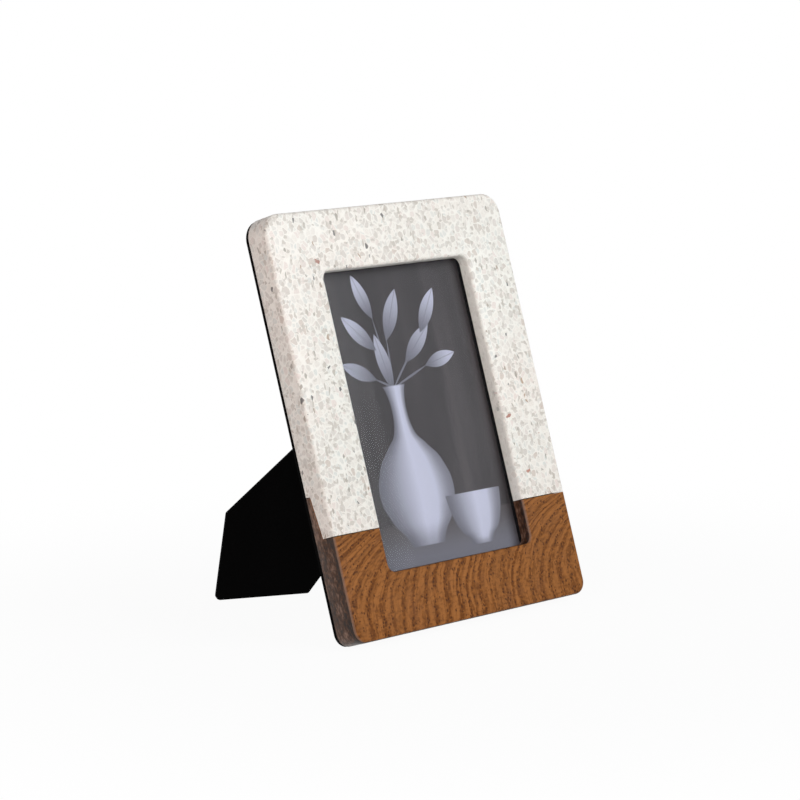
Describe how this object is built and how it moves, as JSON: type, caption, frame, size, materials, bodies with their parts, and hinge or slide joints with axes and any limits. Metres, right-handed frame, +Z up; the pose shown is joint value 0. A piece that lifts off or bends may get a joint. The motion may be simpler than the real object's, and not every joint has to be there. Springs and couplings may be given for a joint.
{
  "type": "picture frame",
  "caption": "Tabletop picture frame: terrazzo arch lapped onto a wooden base, glazed print in a rebate, loose back under turn buttons and a slanted two-way easel leg that folds flat.",
  "frame": {"origin": "middle of the bounding box on the table, at the table", "axes": "+X to the right seen from the front, +Y to the back, +Z up"},
  "size_m": [0.155, 0.1284, 0.1941],
  "materials": {
    "terrazzo": "cast white terrazzo with small grey, beige and red chips, satin",
    "wood": "brown ring-porous hardwood, oiled satin",
    "glass": "clear float glass, ground edges",
    "print": "matt monochrome photo paper",
    "card": "grey-brown pressed card",
    "black_board": "fibre board covered in black flock",
    "steel": "nickel-plated stamped steel"
  },
  "bodies": {
    "frame": {"terrazzo_front": "terrazzo", "wood_base": "wood", "back_frame": "black_board", "glass_pane": "glass", "photo_print": "print", "backing_card": "card", "back_panel": "black_board", "hinge_fixed_leaf": "steel", "hinge_pin": "steel", "rivet_panel_1": "steel", "rivet_panel_2": "steel", "screw_left": "steel", "screw_right": "steel", "screw_top": "steel", "screw_bottom": "steel"},
    "leg": {"easel_leg": "black_board", "hinge_moving_leaf": "steel", "rivet_leg_1": "steel", "rivet_leg_2": "steel"},
    "button_left": {"turn_button_left": "steel"},
    "button_right": {"turn_button_right": "steel"},
    "button_top": {"turn_button_top": "steel"},
    "button_bottom": {"turn_button_bottom": "steel"}
  },
  "joints": [
    {"name": "leg_fold", "type": "hinge", "parent": "frame", "child": "leg", "pos_m": [0.045, -0.0074, 0.12659], "axis": [-0.7314, 0.2107, 0.6486], "range_deg": [0, 38.2]},
    {"name": "button_left_turn", "type": "hinge", "parent": "frame", "child": "button_left", "pos_m": [-0.0675, -0.01981, 0.09487], "axis": [0, 0.9511, -0.309], "continuous": true},
    {"name": "button_right_turn", "type": "hinge", "parent": "frame", "child": "button_right", "pos_m": [0.0675, -0.01981, 0.09487], "axis": [0, 0.9511, -0.309], "continuous": true},
    {"name": "button_top_turn", "type": "hinge", "parent": "frame", "child": "button_top", "pos_m": [0, 0.00784, 0.17999], "axis": [0, 0.9511, -0.309], "continuous": true},
    {"name": "button_bottom_turn", "type": "hinge", "parent": "frame", "child": "button_bottom", "pos_m": [0, -0.04747, 0.00975], "axis": [0, 0.9511, -0.309], "continuous": true}
  ]
}
